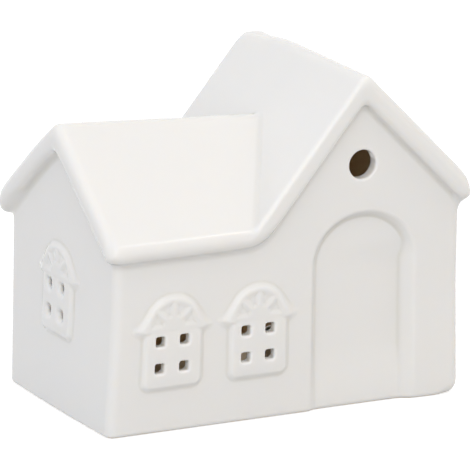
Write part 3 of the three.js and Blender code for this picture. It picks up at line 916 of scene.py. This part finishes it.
def make_cup(material):
    """The profile goes from the middle of the bottom up the outside, round the rolled edge in
    an arc, and down the inside back to the middle."""
    inner, bead = CUP_RADIUS - CUP_SHEET, CUP_HEIGHT - BEAD
    outside = rounded([(0.01, 0.25), (11.0, 0.25), (11.6, 0.0), (CUP_RADIUS, 0.0),
                       (CUP_RADIUS, bead - BEAD)], [0.3, 0.3, 1.3])
    turn = np.linspace(-0.25 * math.pi, 1.1 * math.pi, 12)
    rim = np.stack([CUP_RADIUS + BEAD * np.cos(turn), bead + BEAD * np.sin(turn)], axis=-1)
    inside = rounded([(inner, bead - 0.3), (inner, CUP_SHEET), (11.7, CUP_SHEET),
                      (11.1, CUP_SHEET + 0.25), (0.01, CUP_SHEET + 0.25)], [1.0, 0.3, 0.3])
    profile = np.concatenate([outside, rim, inside])
    return turned("drawn_cup", profile, material, "tealight_cup")


def wax_wave(radius, turn):
    """The wax shrank unevenly as it set, by about a tenth of a millimetre: a sine that goes
    round three times plus a smaller one that goes round five times."""
    near_top = ramp(radius, 2, 8) * ramp(-radius, -18, -12)
    return WAX_WAVE * near_top * (np.sin(3 * turn + 0.8) + 0.6 * np.sin(5 * turn))


def make_wax(material):
    """The top is flat plus a climb at the cup and one at the wick, each falling by a factor of
    e over its reach. The underside leaves room for the plate and its neck."""
    outer = CUP_RADIUS - CUP_SHEET - FIT
    hole = WICK_RADIUS + FIT
    radius = np.linspace(outer, hole, 60)
    at_cup = CLIMB_AT_CUP * np.exp(-(outer - radius) / CLIMB_AT_CUP_REACH)
    at_wick = CLIMB_AT_WICK * np.exp(-(radius - hole) / CLIMB_AT_WICK_REACH)
    top = np.stack([radius, WAX_FOOT + WAX_HEIGHT + (at_cup + at_wick)], axis=-1)
    plate = PLATE_RADIUS + FIT
    under = rounded([(hole, WAX_FOOT + 3.4), (1.7, WAX_FOOT + 3.4), (2.1, WAX_FOOT + 0.5),
                     (plate, WAX_FOOT + 0.5), (plate, WAX_FOOT + 0.1), (outer, WAX_FOOT + 0.1),
                     (outer, WAX_FOOT + WAX_HEIGHT)], [0.2, 0.2, 0.1, 0.1, 0.9])
    profile = np.concatenate([top, under])
    return turned("poured_wax", profile, material, "tealight_wax", wax_wave)


def make_sustainer(material):
    """The profile of a thin plate that turns up into a neck round the wick."""
    bore = WICK_RADIUS + 0.1
    profile = rounded([(bore, 0.02), (PLATE_RADIUS, 0.02), (PLATE_RADIUS, 0.3), (1.9, 0.3),
                       (1.5, 0.9), (1.45, 3.2), (bore, 3.2), (bore, 0.02)],
                      [0.1, 0.1, 0.4, 0.4, 0.2, 0.1])
    profile[:, 1] += WAX_FOOT
    return turned("pressed_sustainer", profile, material, "wick_sustainer")


print("cup", 2 * CUP_RADIUS, "wide, wax up to", WAX_FOOT + WAX_HEIGHT, "in it")

# %% [markdown]
# The wick is braided cotton: a tube whose radius rises where two opposite spirals cross. Its
# route goes straight up and leans over above the wax, by the square of the height there.

# %% Wick
WICK_TOP = WAX_FOOT + WAX_HEIGHT + 7.0
WICK_RINGS, WICK_POINTS = 150, 36
LEAN_FROM, LEAN_X, LEAN_Y = 13.5, 1.15, 0.75
STRANDS, PLAIT_PITCH, PLAIT_RISE = 3, 2.4, 0.07
WICK_SQUEEZE, TIP_ROUND = 0.06, 45


def make_wick(material):
    """The radius is the wick's, times 1 plus the product of the two spirals' cosines, and
    closes at the top by the square root of what is left."""
    share = np.linspace(0, 1, WICK_RINGS)
    height = WAX_FOOT + share * (WICK_TOP - WAX_FOOT)
    lean = np.clip((height - LEAN_FROM) / (WICK_TOP - LEAN_FROM), 0, 1) ** 2
    centre = np.stack([AXIS[0] + LEAN_X * lean, AXIS[1] - LEAN_Y * lean, CUP_FOOT + height],
                      axis=-1)
    turn = np.linspace(0, 2 * math.pi, WICK_POINTS, endpoint=False)[:, None]
    climb = height[None, :] * 2 * math.pi / PLAIT_PITCH
    plait = np.cos(STRANDS * turn + climb) * np.cos(STRANDS * turn - climb)
    closing = np.sqrt(np.clip((1.0001 - share) * TIP_ROUND, 0, 1))
    radius = (WICK_RADIUS - WICK_SQUEEZE) * (1 + PLAIT_RISE * plait) * closing
    points = np.stack([centre[:, 0] + radius * np.cos(turn), centre[:, 1] + radius * np.sin(turn),
                       np.broadcast_to(centre[:, 2], radius.shape)], axis=-1).reshape(-1, 3)
    faces = grid_faces(WICK_POINTS, WICK_RINGS)
    return make_piece("braided_wick", points, faces, material,
                      "tealight", "tealight_wick")


print("wick reaches", round(CUP_FOOT + WICK_TOP, 1), "mm")

# %% [markdown]
# Aluminium that was drawn into a cup shows fine upright streaks on its wall. Wax is cloudy
# and soft at its surface. The tinned plate is duller, and the wick is fuzzy.

# %% Finishes of the tea light


def stretched(finish, across, up):
    """Object coordinates scaled more across than up, which draws a texture into streaks."""
    return finish.node("ShaderNodeVectorMath", {"operation": "MULTIPLY"},
                       {0: finish.place(), 1: (across, across, up)})


def aluminium_finish():
    """Bright sheet with upright streaks and dull patches."""
    finish = Finish("drawn_aluminium")
    streaks = finish.noise(1.0, 3, stretched(finish, 1500, 60))
    dull = finish.noise(120, 3)
    return finish.principled(
        Base_Color=finish.mixed(dull, colour(0.80, 0.80, 0.81), colour(0.70, 0.71, 0.72)),
        Metallic=1.0,
        Roughness=streaks * 0.15 + (dull * 0.1 + 0.18),
        Normal=finish.bump(streaks, 0.00002, 0.6),
    )


def wax_finish():
    """Cloudy wax that lets a little light in."""
    finish = Finish("paraffin_wax")
    cloud = finish.noise(160, 4)
    return finish.principled(
        Base_Color=finish.mixed(cloud.between(0.3, 0.7), colour(0.84, 0.81, 0.74),
                                colour(0.88, 0.86, 0.80)),
        Roughness=cloud * 0.2 + 0.3,
        Subsurface_Weight=0.3,
        Subsurface_Scale=0.003,
        Normal=finish.bump(finish.noise(500, 2), 0.00008, 0.5),
    )


def tin_finish():
    """Duller plate with a fine spangle, slightly uneven."""
    finish = Finish("tinned_plate")
    spangle = finish.noise(900, 2)
    return finish.principled(
        Base_Color=finish.mixed(spangle, colour(0.62, 0.63, 0.64), colour(0.72, 0.72, 0.72)),
        Metallic=1.0,
        Roughness=spangle * 0.15 + 0.25,
        Normal=finish.bump(finish.noise(60, 2), 0.0001, 0.4),
    )


def cotton_finish():
    """Fuzzy thread that is yellower and smoother where the wax has soaked it."""
    finish = Finish("braided_cotton")
    fuzz = finish.noise(6000, 3)
    waxed = 1 - finish.height().between(0.017, 0.019)
    thread = finish.mixed(fuzz, colour(0.80, 0.77, 0.68), colour(0.90, 0.88, 0.82))
    return finish.principled(
        Base_Color=finish.mixed(waxed * 0.5, thread, colour(0.78, 0.72, 0.58)),
        Roughness=0.9 - waxed * 0.35,
        Normal=finish.bump(fuzz, 0.0001, 0.8),
    )


for piece in (make_cup(aluminium_finish()), make_wax(wax_finish()),
              make_sustainer(tin_finish()), make_wick(cotton_finish())):
    print(piece.name + ":", len(piece.data.polygons), "faces")

# %% [markdown]
# ## Floor and light
#
# The house stands on a plain white floor. A large soft lamp hangs in front of it, at the left
# and above. A small, weak one, high at the right and a little in front, glints on the round
# edges. The sky is even, a little cooler at the left than at the right. The floor and the sky
# are seen as white, and light the house at a plain level. Lamps and corners are in metres.

# %% Stage and light
SKY_LEVEL = 0.85
SKY_LEFT, SKY_RIGHT = colour(0.94, 0.985, 1.07), colour(1.06, 1.02, 0.97)
WHITE, FLOOR_GREY = colour(1, 1, 1), colour(0.5, 0.5, 0.5)
FLOOR_GLOW, FLOOR_HALF = 0.7, 3


def make_floor():
    """A large square under the house, which is part of the stage and not of the house."""
    finish = Finish("floor")
    matt = finish.node("ShaderNodeBsdfDiffuse", inputs={"Color": FLOOR_GREY})
    glow = finish.node("ShaderNodeEmission", inputs={"Color": WHITE, "Strength": FLOOR_GLOW})
    both = finish.node("ShaderNodeAddShader", inputs={0: matt, 1: glow})
    finish.surface(finish.seen_white(matt, both))
    mesh = bpy.data.meshes.new("floor")
    corners = [(side_x * FLOOR_HALF, side_y * FLOOR_HALF, 0)
               for side_x, side_y in ((-1, -1), (1, -1), (1, 1), (-1, 1))]
    mesh.from_pydata(corners, [], [(0, 1, 2, 3)])
    mesh.materials.append(finish.owner)
    floor = bpy.data.objects.new("floor", mesh)
    bpy.context.scene.collection.objects.link(floor)


def make_sky():
    """A cool to warm tint from side to side where it lights, and white where it is seen."""
    finish = Finish("sky", bpy.data.worlds.new("studio"))
    side = finish.part(finish.node("ShaderNodeTexCoord", output="Generated"), "X")
    tint = finish.mixed(side.between(-1, 1), SKY_LEFT, SKY_RIGHT)
    even = finish.node("ShaderNodeBackground", inputs={"Color": tint, "Strength": SKY_LEVEL})
    white = finish.node("ShaderNodeBackground", inputs={"Color": WHITE, "Strength": 1.0})
    finish.surface(finish.seen_white(even, white), "ShaderNodeOutputWorld")
    bpy.context.scene.world = finish.owner


def make_lamp(name, place, target, size, watts):
    """A square lamp at place that faces target."""
    data = bpy.data.lights.new(name, "AREA")
    data.size = size
    data.energy = watts
    lamp = bpy.data.objects.new(name, data)
    bpy.context.scene.collection.objects.link(lamp)
    back = np.array(place, float) - np.array(target, float)
    back /= np.linalg.norm(back)
    right = np.cross((0, 0, 1), back)
    right /= np.linalg.norm(right)
    matrix = np.eye(4)
    matrix[:3, 0], matrix[:3, 1], matrix[:3, 2] = right, np.cross(back, right), back
    matrix[:3, 3] = place
    lamp.matrix_world = matrix.T.tolist()


make_floor()
make_sky()
make_lamp("key_softbox", (-0.8, -1.16, 0.6), (0, 0, 0.05), size=2.0, watts=11.6)
make_lamp("glint", (0.55, -0.36, 1.02), (0, 0, 0.06), size=0.25, watts=0.6)

bpy.context.scene.view_settings.view_transform = "Standard"
